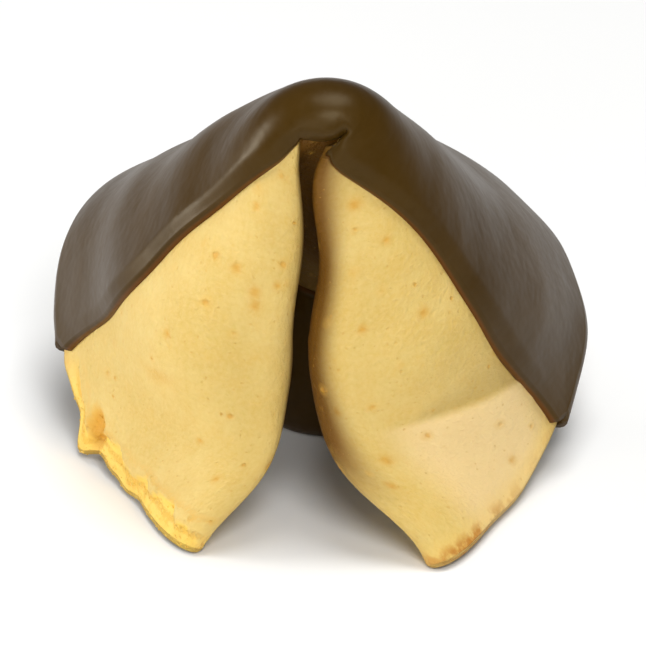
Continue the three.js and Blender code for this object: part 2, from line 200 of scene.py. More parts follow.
def middle(r, turn, softness=1.0):
    """Points of the wall's middle surface."""
    out = cone(r, turn, softness)
    cos, sin, u = np.cos(turn), np.sin(turn), np.clip(r / DISC_RADIUS, 0, 1)
    upper, right_fold = sin > 0, apart(turn, 0)
    x = ARCH_HALF_WIDTH * (1 - np.exp(-r / ARCH_HALF_WIDTH)) * hump(r, 0, ARCH_FADE) * cos
    leftward = smooth(r / LEFTWARD_AT) * hump(r, LEFTWARD_AT, LEFTWARD_AT) * (0.6 + 0.4 * cos)
    x -= ARCH_LEFTWARD * leftward * hump(sin, 0, 0.7)
    x += np.where(upper, 2 * NOSE_BREADTH * (1 - hump(r, 0, 5)) * hump(r, 0, NOSE_LONG) * cos * sin, 0)
    bow = SLIT_BOW * smooth(r / 8) + SLIT_BOW_BELOW * hump(r, BOW_AT, BOW_LONG)
    x -= bow * (1 - 0.6 * smooth((u - 0.65) / 0.35)) * np.exp(-(((sin * sin) / 0.45) ** 2))
    for push, at, long, fold in FOLD_PUSHES:
        x += push * hump(r, at, long) * hump(apart(turn, fold), 0, PUSH_WIDE)
    x -= RIGHT_CLOSE * smooth((r - 1) / 8) * hump(r, CLOSE_AT, CLOSE_LONG) * hump(right_fold, 0, CLOSE_WIDE)
    x -= TIP_LEAN * u**4 * hump(right_fold, 0, 0.6)
    x -= np.where(cos > 0, BELLY_RIGHT, BELLY_LEFT) * hump(r, BELLY_AT, BELLY_LONG) * hump(sin, 0, 0.5) * cos
    x -= np.where(upper, SIDE_LEAN * u * np.sin(2 * turn) ** 2, 0)
    x -= SHOULDER_IN * u**4 * hump(turn, SHOULDER_TURN, SHOULDER_WIDE)
    out[:, 0] += x
    loft = ARCH_LOFT * (1 - np.exp(-r / ARCH_LOFT)) * hump(r, 0, LOFT_FADE)
    loft *= sin - 0.35 * np.maximum(sin, 0) ** 2
    for at, lift in CRESTS:
        loft += lift * smooth((r - 10) / 10) * hump(turn, at, CREST_WIDE)
    return out + loft[:, None] * UP_THE_NOSE


def sheet_frame(r, turn):
    """At each flat place: the point, the way away from the peak and the way out of the outside face."""
    step = 0.05
    swing = step / np.maximum(r, 1)
    away = unit(middle(r + step, turn, SOFTNESS) - middle(np.maximum(r - step, 0), turn, SOFTNESS))
    across = middle(r, turn + swing, SOFTNESS) - middle(r, turn - swing, SOFTNESS)
    return middle(r, turn), away, unit(np.cross(away, across))


print("peak to rim along a fold, mm:", round(float(np.linalg.norm(middle(np.array([DISC_RADIUS]), np.zeros(1)))), 1))

# %% [markdown]
# ## Handling and baking
# A wafer is never quite flat. The batter dries in slow waves, fingers dent it while it is folded, and its rim
# is a little out of round, with one stretch that tore where it stuck to the plate. These small heights and
# radii are shared by the wafer and the chocolate, so that the chocolate lies on the wafer everywhere.

# %% Waves, dents and the rim
# Dents: how deep, at which distance from the peak and over what length, at which turn and how wide.
DENTS = [(0.75, 32.5, 3.2, radians(21), 0.26), (0.4, 31, 3, radians(151), 0.12)]
TORN_TURN, TORN_WIDE = radians(151), 0.17
# Where the rim stands out or in: how far, at which turn, how wide.
RIM_BUMPS = [
    (-1.3, radians(270), 0.5),
    (1.1, radians(149.5), radians(2.4)),
    (0.9, radians(20), radians(6)),
]
THINNING = 0.6
PINCH, PINCH_WIDE = 0.78, 0.17


def unevenness(r, turn):
    """How far the sheet stands out of its ideal surface."""
    x, y = r * np.cos(turn), r * np.sin(turn)
    height = 0.13 * np.sin(0.31 * x + 0.8) * np.sin(0.27 * y + 0.4) + 0.09 * np.sin(0.52 * x - 0.36 * y + 2.1)
    height = height * smooth(r / 12)
    for deep, at, long, bearing, wide in DENTS:
        height = height - deep * hump(r, at, long) * hump(apart(turn, bearing), 0, wide)
    return height


def torn(turn):
    """1 in the middle of the torn stretch of the rim, 0 away from it."""
    return hump(apart(turn, TORN_TURN), 0, TORN_WIDE)


def rim_radius(turn):
    """The wafer's real radius at a turn."""
    radius = DISC_RADIUS + 0.25 * np.sin(3 * turn + 0.6) + 0.2 * np.sin(7 * turn + 1.9) + 0.12 * np.sin(17 * turn)
    for high, at, wide in RIM_BUMPS:
        radius = radius + high * hump(apart(turn, at), 0, wide)
    return radius + (1.3 + 0.55 * np.sin(41 * turn) + 0.35 * np.sin(67 * turn + 1)) * torn(turn)


def under_arch(r, turn):
    """1 where the sheet turns in tightly under the arch and has less room for its wall."""
    return smooth(-np.sin(turn) / 0.5) * smooth(r / 2) * (1 - smooth((r - 8) / 8))


def outside_depth(r, turn):
    """From the wall's middle to its outside face."""
    return WALL / 2 * (1 - THINNING * under_arch(r, turn))


def inside_depth(r, turn):
    """From the middle to the inside face: less where a fold is pinched flat, none at the peak."""
    pinch = hump(np.sin(turn), 0, PINCH_WIDE) * smooth((r - 26) / 10)
    return np.clip(np.minimum(1 - PINCH * pinch, (r - 4.5) / 6), 0, 1) * WALL / 2


print("torn rim stands out, mm:", round(float(rim_radius(np.array([TORN_TURN]))[0] - DISC_RADIUS), 2))

# %% [markdown]
# ## Points on the wafer
# A grid of rings and turns covers each face. An even grid would spend its points where nothing happens, so the
# turns crowd together where the sheet bends most and on the bare front of the two lobes, where the eye goes.

# %% Lay out rings and turns
TURNS, OUTER_RINGS, INNER_RINGS, LIP_ROWS = 460, 128, 52, 5
# Extra turns on the bends and on the lobes: the turn in degrees, how many more, how wide.
CROWDED = [(239, 0.9, 0.25), (301, 0.9, 0.25), (14, 1.6, 0.35), (163, 1.6, 0.35)]


def crowded_turns(count, fine=7200):
    t = 2 * pi * (np.arange(fine) + 0.5) / fine
    weight = 1 + 1.3 * hump(np.sin(t), 0, 0.3)
    for at, more, wide in CROWDED:
        weight += more * hump(apart(t, radians(at)), 0, wide)
    run = np.concatenate([[0], np.cumsum(weight)])
    return np.interp(np.arange(count) * run[-1] / count, run, 2 * pi * np.arange(fine + 1) / fine)


turns = crowded_turns(TURNS)
print("widest step between turns, degrees:", round(float(np.degrees(np.diff(turns).max())), 2))

# %% [markdown]
# ## Layers at the torn rim
# Where the wafer tore, its skin broke back a little further than its core, so the rim comes down in small
# ragged steps. They could be painted, but steps catch the light from every side, so they are real heights.

# %% Heights of the torn rim
PEELED_FROM, PEELED_TO = radians(141), radians(177)
NOTCH = {"x": -39.4, "y": 21.2, "wide": 1.3, "deep": 0.7}


def peeled(turn):
    """1 along the stretch of the rim that lost its skin."""
    return smooth((turn - PEELED_FROM) / radians(5)) * (1 - smooth((turn - PEELED_TO) / radians(7)))


def step_line(turn):
    """How far in from the rim the broken skin begins."""
    ragged = 0.3 * np.sin(53 * turn + 1) + 0.2 * np.sin(97 * turn) + 0.32 * np.sin(23 * turn + 2)
    return 2.1 + ragged - 1.1 * smooth((turn - radians(168)) / radians(14))


def notched(r, turn):
    """1 in the small pit beside the torn flap."""
    away = np.hypot((r * np.cos(turn) - NOTCH["x"]) * 0.6, r * np.sin(turn) - NOTCH["y"])
    return 1 - smooth((away / NOTCH["wide"] - 0.5) / 0.8)


def layered(r, turn):
    """How far the outer skin is broken down in steps near the torn rim."""
    inward = rim_radius(turn) - r
    line = step_line(turn)
    down = 0.48 * smooth((line - inward) / 0.35) + 0.14 * smooth((0.42 * line - inward) / 0.25)
    second = 0.13 * smooth((line + 1.5 + 0.3 * np.sin(31 * turn) - inward) / 0.3)
    ridge = 0.16 * hump(inward, line + 0.45, 0.4)
    return peeled(turn) * (down + second - ridge) + NOTCH["deep"] * notched(r, turn)


print("deepest torn step, mm:", round(float(layered(np.array([45.0]), np.array([TORN_TURN]))[0]), 2))

# %% [markdown]
# ## Marks of handling
# The right lobe was pressed while it was warm. The thumb left a soft valley with one crisp side; the finish gives
# the valley painted shade and the sheet beyond it a painted lighter patch, where it faces up into the light. On the
# left lobe there is one short nick, and here and there a bubble broke open and browned. The few large marks have
# their own places; the many small ones are left to the finish.

# %% Dents and open bubbles
CRISP_SIDE = 32.4
OPEN_BUBBLES = [
    (-17.2, 5.5, 0.45), (-19.0, 3.8, 0.5), (-20.2, 3.7, 0.4), (-18.3, 1.9, 0.35), (-24.3, 11.3, 0.35),
    (21.7, 9.8, 0.45), (22.2, 4.7, 0.4), (35.5, 5.2, 0.5), (38.0, 3.4, 0.4), (11.0, 2.9, 0.5), (14.6, 5.5, 0.35),
    (39.9, 16.2, 0.4), (-34.5, 8.0, 0.35), (-38.0, 4.2, 0.4), (-11.5, 4.0, 0.35), (30.1, 2.4, 0.35),
]


def pressed(r, turn):
    """Depth of the valley on the right lobe: a crisp side, and a soft rise back to the sheet."""
    x, y = r * np.cos(turn), r * np.sin(turn)
    rise = 1 - smooth((CRISP_SIDE - x) / (0.8 + 0.6 * np.maximum(y - 8.5, 0)))
    ends = smooth((y - 8) / 3.5) * (1 - smooth((y - 18) / 5))
    return 0.42 * smooth((CRISP_SIDE + 0.5 - x) / 1.0) * rise * ends


def nicked(r, turn):
    """1 in the short nick of the left lobe."""
    x, y = r * np.cos(turn) + 29, r * np.sin(turn) - 12.4
    return hump(x, 0, 0.8) * hump(y, 0, 2.0)


def bubbled(r, turn):
    """1 in the middle of each bubble that broke open."""
    x, y = r * np.cos(turn), r * np.sin(turn)
    return sum(hump(x, bx, wide) * hump(y, by, wide) for bx, by, wide in OPEN_BUBBLES)


def baked_relief(r, turn):
    return -layered(r, turn) - pressed(r, turn) - 0.25 * nicked(r, turn) - 0.12 * bubbled(r, turn)


print("open bubbles:", len(OPEN_BUBBLES))

# %% [markdown]
# ## Tools for node trees
# The wafer's wall, the poured chocolate and both finishes are node trees. They could be drawn by hand in the
# editor, but a tree built here can be read, changed and run again, and a few short helpers keep it readable.

# %% Helpers for node trees
SOCKETS = {int: "NodeSocketInt", float: "NodeSocketFloat", type(None): "NodeSocketVector"}


def feed(tree, made, inputs):
    """Links or sets a node's inputs by name or number."""
    for key, value in inputs.items():
        if isinstance(value, bpy.types.NodeSocket):
            tree.links.new(value, made.inputs[key])
        else:
            made.inputs[key].default_value = value


def node(tree, kind, inputs=None, **settings):
    """Adds a node, sets its options and feeds it."""
    made = tree.nodes.new(kind)
    for key, value in settings.items():
        setattr(made, key, value)
    feed(tree, made, inputs or {})
    return made


def maths(tree, operation, *values):
    """One Math node; returns its result."""
    return node(tree, "ShaderNodeMath", dict(enumerate(values)), operation=operation).outputs[0]


def times(tree, *values):
    return maths(tree, "MULTIPLY", *values)


def vector_sum(tree, a, b):
    return node(tree, "ShaderNodeVectorMath", {0: a, 1: b}, operation="ADD").outputs[0]


def scaled(tree, vector, amount):
    return node(tree, "ShaderNodeVectorMath", {0: vector, "Scale": amount}, operation="SCALE").outputs[0]


def ramped(tree, value, start, end):
    """0 at start, 1 at end, with a soft S between."""
    inputs = {"Value": value, "From Min": start, "From Max": end}
    return node(tree, "ShaderNodeMapRange", inputs, interpolation_type="SMOOTHSTEP").outputs["Result"]


def group_tree(name, kind, inputs, masks=()):
    """An empty group: its number inputs with their start values (None for a vector), and its mask outputs."""
    tree = bpy.data.node_groups.new(name, kind)
    if kind == "GeometryNodeTree":
        for way in ("INPUT", "OUTPUT"):
            tree.interface.new_socket("Geometry", in_out=way, socket_type="NodeSocketGeometry")
    for key, value in inputs.items():
        made = tree.interface.new_socket(key, in_out="INPUT", socket_type=SOCKETS[type(value)])
        if value is not None:
            made.default_value = value
    for key in masks:
        tree.interface.new_socket(key, in_out="OUTPUT", socket_type="NodeSocketFloat")
    return tree, tree.nodes.new("NodeGroupInput").outputs, tree.nodes.new("NodeGroupOutput").inputs


print("kinds of group input:", len(SOCKETS))

# %% [markdown]
# ## From points to a plain mesh
# A folded sheet has no simple solid to start from, so its points and faces are worked out and handed over whole,
# with the values that the trees and finishes need, such as the flat place. A tree runs as a modifier, and its
# result is kept as a plain mesh, because the export takes only plain meshes.

# %% Helpers for meshes
def mesh_object(name, points, faces, values):
    """An object from points in millimetres, with named values stored on its points."""
    mesh = bpy.data.meshes.new(name)
    mesh.from_pydata((points * MM).tolist(), [], faces)
    for key, data in values.items():
        vector = data.ndim == 2
        held = mesh.attributes.new(key, "FLOAT_VECTOR" if vector else "FLOAT", "POINT")
        held.data.foreach_set("vector" if vector else "value", np.ascontiguousarray(data, np.float32).ravel())
    mesh.update()
    made = bpy.data.objects.new(name, mesh)
    bpy.context.scene.collection.objects.link(made)
    return made


def grown(made, tree, inputs):
    """Runs a Geometry Nodes tree with these inputs on an object and keeps the result as its plain mesh."""
    modifier = made.modifiers.new(tree.name, "NODES")
    modifier.node_group = tree
    for item in tree.interface.items_tree:
        if item.in_out == "INPUT" and item.name in inputs:
            modifier[item.identifier] = inputs[item.name]
    made.update_tag()
    bpy.context.view_layer.update()
    evaluated = made.evaluated_get(bpy.context.evaluated_depsgraph_get())
    plain = bpy.data.meshes.new_from_object(evaluated)
    made.modifiers.remove(modifier)
    made.data = plain
    plain.name = made.name
    plain.shade_smooth()
    triangles = sum(len(p.vertices) - 2 for p in plain.polygons)
    print(made.name, "has", triangles, "triangles")
    return made


def stored(tree, name, kind="FLOAT"):
    """A value of the points, read inside a Geometry Nodes tree."""
    return node(tree, "GeometryNodeInputNamedAttribute", {"Name": name}, data_type=kind).outputs[0]


print("lengths go from millimetres to metres by", MM)

# %% [markdown]
# ## Tools for finishes
# A finish is a base colour with others laid over it, each through its own mask: blotches, a painted lighter patch,
# the brown of a pit, painted shade. They could be one painted picture, but masks stay sharp at any size and follow
# the baked sheet. Colours are written as a screen shows them, and turned into the linear light that shaders use.

# %% Colours and layers
def paint(red, green, blue):
    """A colour given as a screen shows it, 0 to 255, as linear light."""
    linear = lambda c: c / 12.92 if c <= 0.04045 else ((c + 0.055) / 1.055) ** 2.4
    return (*(linear(c / 255) for c in (red, green, blue)), 1)


def new_material(name):
    made = bpy.data.materials.new(name)
    made.use_nodes = True
    return made, made.node_tree, made.node_tree.nodes["Principled BSDF"]


def effect(tree, group, **inputs):
    return node(tree, "ShaderNodeGroup", inputs, node_tree=group).outputs


def attribute(tree, name, output="Fac"):
    """A value of the points, read inside a finish."""
    return node(tree, "ShaderNodeAttribute", attribute_name=name).outputs[output]


def mixed(tree, share, start, end):
    """A colour that goes from start to end with share."""
    return node(tree, "ShaderNodeMix", {0: share, 6: start, 7: end}, data_type="RGBA").outputs[2]


def laid_over(tree, colour, layers):
    """Colours laid over a first one in turn: each has its mask and the share of it that shows."""
    for mask, share, shade in layers:
        colour = mixed(tree, times(tree, mask, share), colour, paint(*shade))
    return colour


def bumped(tree, shader, strength, masks):
    """Heights in millimetres, each through its mask, as one bump."""
    height = 0.0
    for mask, high in masks:
        height = maths(tree, "MULTIPLY_ADD", mask, high, height)
    bump = node(tree, "ShaderNodeBump", {"Height": height, "Distance": MM, "Strength": strength})
    tree.links.new(bump.outputs["Normal"], shader.inputs["Normal"])


print("white as light:", paint(255, 255, 255))

# %% [markdown]
# ## Shared surface effects
# Slow clouds of tone and pores come back in several finishes. Each could be made anew there, but as a shader
# group with named inputs it is built once. The groups give out only masks, so each finish still decides what
# a pore or a cloud does to its colour and its height.

# %% Clouds and pores
def clouds_group():
    inputs = {"Place": None, "Size": 8.0, "Contrast": 1.0}
    tree, given, out = group_tree("clouds of tone", "ShaderNodeTree", inputs, ["Mask"])
    scale = maths(tree, "DIVIDE", 1.0, given["Size"])
    settings = {"Vector": given["Place"], "Scale": scale, "Detail": 4.0, "Roughness": 0.55}
    noise = node(tree, "ShaderNodeTexNoise", settings).outputs["Fac"]
    spread = maths(tree, "MULTIPLY_ADD", maths(tree, "SUBTRACT", noise, 0.5), given["Contrast"], 0.5)
    tree.links.new(maths(tree, "MAXIMUM", maths(tree, "MINIMUM", spread, 1.0), 0.0), out["Mask"])
    return tree


def pores_group():
    """Round pits in some of the cells of a net, each with its own size."""
    inputs = {"Place": None, "Spacing": 1.2, "Share": 0.3, "Width": 0.3}
    tree, given, out = group_tree("baked pores", "ShaderNodeTree", inputs, ["Mask", "Ring"])
    scale = maths(tree, "DIVIDE", 1.0, given["Spacing"])
    wobble = node(tree, "ShaderNodeTexNoise", {"Vector": given["Place"], "Scale": 1.7, "Detail": 1.0})
    shifted = vector_sum(tree, given["Place"], scaled(tree, wobble.outputs["Color"], 0.35))
    cells = node(tree, "ShaderNodeTexVoronoi", {"Vector": shifted, "Scale": scale})
    chance = node(tree, "ShaderNodeSeparateColor", {"Color": cells.outputs["Color"]})
    chosen = maths(tree, "LESS_THAN", chance.outputs["Red"], given["Share"])
    own_width = maths(tree, "MULTIPLY_ADD", chance.outputs["Green"], 0.8, 0.4)
    near = maths(tree, "DIVIDE", cells.outputs["Distance"], times(tree, given["Width"], own_width))
    for name, start, end in (("Mask", 1.0, 0.35), ("Ring", 2.0, 1.0)):
        tree.links.new(times(tree, ramped(tree, near, start, end), chosen), out[name])
    return tree


CLOUDS, PORES = clouds_group(), pores_group()
print("shader groups:", CLOUDS.name, "and", PORES.name)

# %% [markdown]
# ## The wafer's finish
# A plain sweet batter bakes to a pale straw yellow, a little deeper where it is thin or where it touched the iron
# longest. Its face is matt, with hair-fine pores and a few open bubbles. The finish also paints shade into the slit,
# onto the folds where they turn away from the light and into the dent, and paints a lighter patch beyond the dent
# where the sheet faces the light. The whole finish reads the flat place stored on the points, in millimetres, so
# that pores keep their size and run round the folds.

# %% Baked wafer
def torn_layers(tree, tone, blotch, speck, inward):
    """Wavy lines along the torn rim, where sheets of the broken batter show."""
    wander = maths(tree, "MULTIPLY_ADD", blotch, 2.4, times(tree, tone, 5.0))
    waves = maths(tree, "SINE", maths(tree, "MULTIPLY_ADD", inward, 3.3, wander))
    sheets = times(tree, ramped(tree, waves, -0.2, 1.0), attribute(tree, "peel"))
    return times(tree, sheets, ramped(tree, speck, 0.1, 0.6))


def baked_wafer():
    material, tree, shader = new_material("baked_wafer")
    flat, inward = attribute(tree, "flat", "Vector"), attribute(tree, "inward")
    tone, blotch, speck = (
        effect(tree, CLOUDS, Place=flat, Size=size, Contrast=contrast)["Mask"]
        for size, contrast in ((9.0, 2.2), (2.0, 2.6), (0.45, 2.2))
    )
    pits = effect(tree, PORES, Place=flat, Spacing=2.1, Share=0.45, Width=0.2)
    pins = effect(tree, PORES, Place=flat, Spacing=0.7, Share=0.45, Width=0.24)
    sheets = torn_layers(tree, tone, blotch, speck, inward)
    bare = times(tree, attribute(tree, "bare"), maths(tree, "MULTIPLY_ADD", blotch, 0.4, 0.6))
    ragged = times(tree, attribute(tree, "toasted"), ramped(tree, blotch, 0.3, 0.75))
    batter = mixed(tree, tone, paint(203, 170, 82), paint(223, 195, 118))
    colour = laid_over(tree, batter, [
        (blotch, 0.55, (212, 172, 80)),
        (speck, 0.4, (230, 204, 136)),
        # painted light: the lighter patch beyond the dent
        (attribute(tree, "painted_light_patch"), 0.75, (243, 212, 154)),
        (ramped(tree, inward, 2.6, 0.2), 0.4, (238, 200, 104)),
        (bare, 1.0, (250, 208, 92)),
        (attribute(tree, "notch"), 0.75, (204, 136, 14)),
        (sheets, 0.5, (220, 160, 44)),
        (ragged, 0.85, (192, 128, 44)),
        (attribute(tree, "browned"), 0.75, (208, 148, 34)),
        # painted shade in the slit, on the folds and in the dent
        (attribute(tree, "deep"), 1.0, (118, 78, 12)),
        (pits["Mask"], 0.6, (208, 148, 38)),
        (pits["Ring"], 0.22, (220, 170, 72)),
        (pins["Mask"], 0.35, (206, 154, 62)),
    ])
    bumped(tree, shader, 0.9, [
        (speck, 0.08), (blotch, 0.1), (sheets, -0.14),
        (pits["Mask"], -0.11), (pits["Ring"], 0.03), (pins["Mask"], -0.05),
    ])
    feed(tree, shader, {
        "Base Color": colour,
        "Roughness": maths(tree, "MULTIPLY_ADD", speck, 0.16, 0.54),
        "Specular IOR Level": 0.32,
        "Subsurface Weight": 0.1,
        "Subsurface Radius": (1.0, 0.6, 0.25),
        "Subsurface Scale": 0.0012,
    })
    return material


WAFER_FINISH = baked_wafer()
print("wafer finish nodes:", len(WAFER_FINISH.node_tree.nodes))

# %% [markdown]
# ## The wafer's points
# The real sheet has two baked faces and a broken rim. One surface with a thickness added later would be quicker,
# but its rim would be square. So rows run down the outer face, round the lip and back up the inner face.

# %% Lay out the wafer's points
RING_CROWDING = 1.25
RIM_THINNER, THINNER_FROM = 0.22, 0.86
LIP_REACH = 0.32
# Each row: which face it is on, from 0 for the outer to 1 for the inner, and its share of the way to the rim.
rows = [(0, i / OUTER_RINGS) for i in range(1, OUTER_RINGS + 1)]
rows += [(k / (LIP_ROWS + 1), 1.0) for k in range(1, LIP_ROWS + 1)]
rows += [(1, i / INNER_RINGS) for i in range(INNER_RINGS, 0, -1)]
side, share = (np.repeat(column, TURNS) for column in np.array(rows).T)
turn = np.tile(turns, len(rows))
r = rim_radius(turn) * share ** np.where(share < 1, RING_CROWDING, 1)
point, away, normal = sheet_frame(r, turn)
thin = 1 - RIM_THINNER * smooth((share - THINNER_FROM) / (1 - THINNER_FROM))
top = outside_depth(r, turn) * thin + np.where(side < 1, baked_relief(r, turn), 0)
under = inside_depth(r, turn) * thin
round_lip = pi * side
along = (top - under) / 2 + (top + under) / 2 * np.cos(round_lip)
beyond = LIP_REACH * WALL * np.sin(round_lip)
way = normal * along[:, None] + away * beyond[:, None]
out = unit(normal * np.cos(round_lip)[:, None] + away * np.sin(round_lip)[:, None])
tip, tip_out = middle(np.zeros(1), np.zeros(1)), sheet_frame(np.array([0.3]), np.array([pi / 2]))[2]
points = np.vstack([point + normal * unevenness(r, turn)[:, None], tip, tip])
way = np.vstack([way, tip_out * WALL / 2, tip_out * 0])
out = np.vstack([out, tip_out, -tip_out])
print("wafer points:", len(points))

# %% [markdown]
# ## Faces, and what each point knows
# Four-sided faces join the rows, with a fan of three-sided ones at each end, so the body is closed. Browning,
# shade and the broken rim could be worked out inside the finish, but here the functions that shaped the marks
# can also say where they are, so colour and form agree.

# %% Join the rows and store what the finish needs
def ring_faces(count):
    """Quads between rows that close on themselves, and a fan at each end."""
    at = lambda row, j: row * TURNS + j % TURNS
    faces = []
    for j in range(TURNS):
        faces.append((count * TURNS, at(0, j), at(0, j + 1)))
        faces.append((count * TURNS + 1, at(count - 1, j + 1), at(count - 1, j)))
    for row in range(count - 1):
        faces += [(at(row, j), at(row + 1, j), at(row + 1, j + 1), at(row, j + 1)) for j in range(TURNS)]
    return faces


def with_poles(values, outer=0, inner=0):
    return np.concatenate([values, [outer, inner]])


wafer_faces = ring_faces(len(rows))
on_face, on_face_or_lip = side < 0.5, side < 0.6
flat_x, flat_y = r * np.cos(turn), r * np.sin(turn)
inward = rim_radius(turn) - r - beyond
toasted = smooth((1.3 - inward) / 0.9) * (hump(apart(turn, radians(7)), 0, 0.16) + 0.2)
# Painted light: a lighter patch on the right lobe beyond the dent's crisp side, where the sheet faces up into the
# light.
painted_light_patch = smooth((flat_x - CRISP_SIDE + 0.3) / 0.7) * smooth((flat_y - 4.5) / 5.5) * smooth((24 - flat_y) / 6)
bare = np.maximum(peeled(turn) * smooth((step_line(turn) + 0.1 - inward) / 0.3), notched(r, turn))
# Painted shade: the wafer is darkened in the slit under the arch, on both folds where they turn away from the light,
# and in the dent on the right lobe. All of it is stored as deep.
slit_shade = smooth(-np.sin(turn) / 0.5 + 0.15) * (1 - smooth((r - 20) / 14))
near_arch = hump(r, 8, 8)
right_fold_shade = smooth((0.13 * r + 0.3 + 1.3 * near_arch - flat_y) / (0.08 * r + 1.0 + 1.2 * near_arch))
left_fold_shade = 0.85 * smooth((0.1 - flat_y) / 2.0)
fold_shade = np.where(flat_x > 0, right_fold_shade, left_fold_shade) * (1 - smooth((r - 33) / 8)) * smooth(r / 6)
deep = np.clip(np.maximum(slit_shade, fold_shade) + 0.6 * pressed(r, turn), 0, 1)
stored_values = {
    "flat": np.vstack([np.stack([flat_x, flat_y, 60 * side], 1), [[0, 0, 0], [0, 0, 60]]]),
    "way": way * MM,
    "out": out,
    "inward": with_poles(inward, DISC_RADIUS, DISC_RADIUS),
    "toasted": with_poles(toasted),
    "bare": with_poles(bare * on_face_or_lip),
    "peel": with_poles(peeled(turn) * smooth((4.2 - inward) / 2.5) * on_face_or_lip),
    "notch": with_poles(notched(r, turn) * on_face),
    "painted_light_patch": with_poles(painted_light_patch * on_face),
    "deep": with_poles(deep * on_face, 1),
    "browned": with_poles(np.clip(bubbled(r, turn) + 0.45 * nicked(r, turn), 0, 1) * on_face),
}
wafer = mesh_object("wafer_baked", points, wafer_faces, stored_values)
print("wafer faces:", len(wafer_faces))

# %% [markdown]
# ## Growing the wall
# Each point goes out along its own way, the face gets a fine grain of batter and a few low blisters, and loose
# crumbs cling to the torn rim: one small grain, turned and sized by chance, with a fixed seed. All of it could
# be modelled by hand, but a rule is the same over the whole sheet.

# %% Crumbs on the torn rim
CRUMB_SMALLEST, CRUMB_LARGEST = (0.4, 0.4, 0.3), (1.3, 1.0, 0.7)


def crumbs(tree, given, surface):
    """Small grains scattered where the crumb of the wafer is bare."""
    density = times(tree, times(tree, stored(tree, "bare"), given["Crumbs per square mm"]), 1 / MM**2)
    spread = {"Mesh": surface, "Density": density, "Seed": given["Seed"]}
    points = node(tree, "GeometryNodeDistributePointsOnFaces", spread).outputs
    grain = node(tree, "GeometryNodeMeshIcoSphere", {"Radius": 0.5 * MM, "Subdivisions": 2})
    sizes = {0: CRUMB_SMALLEST, 1: CRUMB_LARGEST, "Seed": given["Seed"]}
    chance = node(tree, "FunctionNodeRandomValue", sizes, data_type="FLOAT_VECTOR").outputs[0]
    return node(tree, "GeometryNodeInstanceOnPoints", {
        "Points": points["Points"], "Instance": grain.outputs["Mesh"],
        "Rotation": points["Rotation"], "Scale": scaled(tree, chance, given["Crumb size"]),
    }).outputs["Instances"]


print("crumbs, smallest and largest:", CRUMB_SMALLEST, CRUMB_LARGEST)


# %% The tree that grows the wall
def moved_by(tree, given, offset):
    inputs = {"Geometry": given["Geometry"], "Offset": offset}
    return node(tree, "GeometryNodeSetPosition", inputs).outputs["Geometry"]


def finish_tree(tree, out, geometry, material):
    """The end of every tree: real points instead of instances, and the finish."""
    plain = node(tree, "GeometryNodeRealizeInstances", {"Geometry": geometry}).outputs["Geometry"]
    finished = node(tree, "GeometryNodeSetMaterial", {"Geometry": plain, "Material": material})
    tree.links.new(finished.outputs["Geometry"], out["Geometry"])
    return tree


def wall_tree():
    inputs = {"Thickness": 1.0, "Grain height": 0.05, "Grain size": 1.6, "Blister height": 0.1,
              "Blister spacing": 3.4, "Crumbs per square mm": 1.5, "Crumb size": 0.3, "Seed": 7}
    tree, given, out = group_tree("grow the wafer wall", "GeometryNodeTree", inputs)
    place = stored(tree, "flat", "FLOAT_VECTOR")
    size, closeness = (maths(tree, "DIVIDE", 1.0, given[key]) for key in ("Grain size", "Blister spacing"))
    noise = node(tree, "ShaderNodeTexNoise", {"Vector": place, "Scale": size, "Detail": 3.0}).outputs["Fac"]
    grain = times(tree, maths(tree, "SUBTRACT", noise, 0.5), given["Grain height"])
    cells = node(tree, "ShaderNodeTexVoronoi", {"Vector": place, "Scale": closeness}).outputs
    chance = node(tree, "FunctionNodeSeparateColor", {"Color": cells["Color"]}).outputs["Red"]
    dome = ramped(tree, cells["Distance"], 0.32, 0.05)
    chosen = maths(tree, "LESS_THAN", chance, 0.3)
    blister = times(tree, times(tree, dome, chosen), given["Blister height"])
    lift = times(tree, maths(tree, "ADD", grain, blister), MM)
    wall = scaled(tree, stored(tree, "way", "FLOAT_VECTOR"), given["Thickness"])
    offset = vector_sum(tree, wall, scaled(tree, stored(tree, "out", "FLOAT_VECTOR"), lift))
    moved = moved_by(tree, given, offset)
    joined = node(tree, "GeometryNodeJoinGeometry", {"Geometry": moved})
    tree.links.new(crumbs(tree, given, moved), joined.inputs["Geometry"])
    return finish_tree(tree, out, joined.outputs["Geometry"], WAFER_FINISH)


wafer = grown(wafer, wall_tree(), {"Seed": 7})

# %% [markdown]
# ## The chocolate
# The cookie was dipped back first, so one skin covers the outer layer's back and a smaller one the rim of the
# inner layer, and both run in a little at the open mouth. Where they end in front could be painted as a mask,
# but a line over the flat wafer, given by a few named numbers, makes one clean and real edge.

# %% Where the front edge lies
FRONT_AT_ARCH = -3.4
# Left and right of the arch: the slope, the step down, its width and onset, and a rise beside the arch.
LEFT_EDGE = {"slope": 0.85, "step": 5.4, "width": 12.2, "onset": 2.1, "rise": 0.8, "at": 4.5, "long": 2.1}
RIGHT_EDGE = {"slope": 0.38, "step": 12.3, "width": 14.8, "onset": 1.92, "rise": 1.3, "at": 2.9, "long": 2.0}


def dip_line(x):
    """How far the outer skin's front edge lies towards the ridge, at x to the side on the flat wafer."""
    u = np.abs(x)

    def beyond_arch(e):
        climb = e["slope"] * (np.hypot(u, 4) - 4) + e["step"] * (1 - np.exp(-((u / e["width"]) ** e["onset"])))
        return climb + e["rise"] * hump(u, e["at"], e["long"])

    return FRONT_AT_ARCH + 0.3 * hump(u, 0, 4) + np.where(x < 0, beyond_arch(LEFT_EDGE), beyond_arch(RIGHT_EDGE))


def inner_dip_line(x):
    return 27 + 0.07 * np.abs(x) + 0.4 * np.sin(0.5 * x + 1)


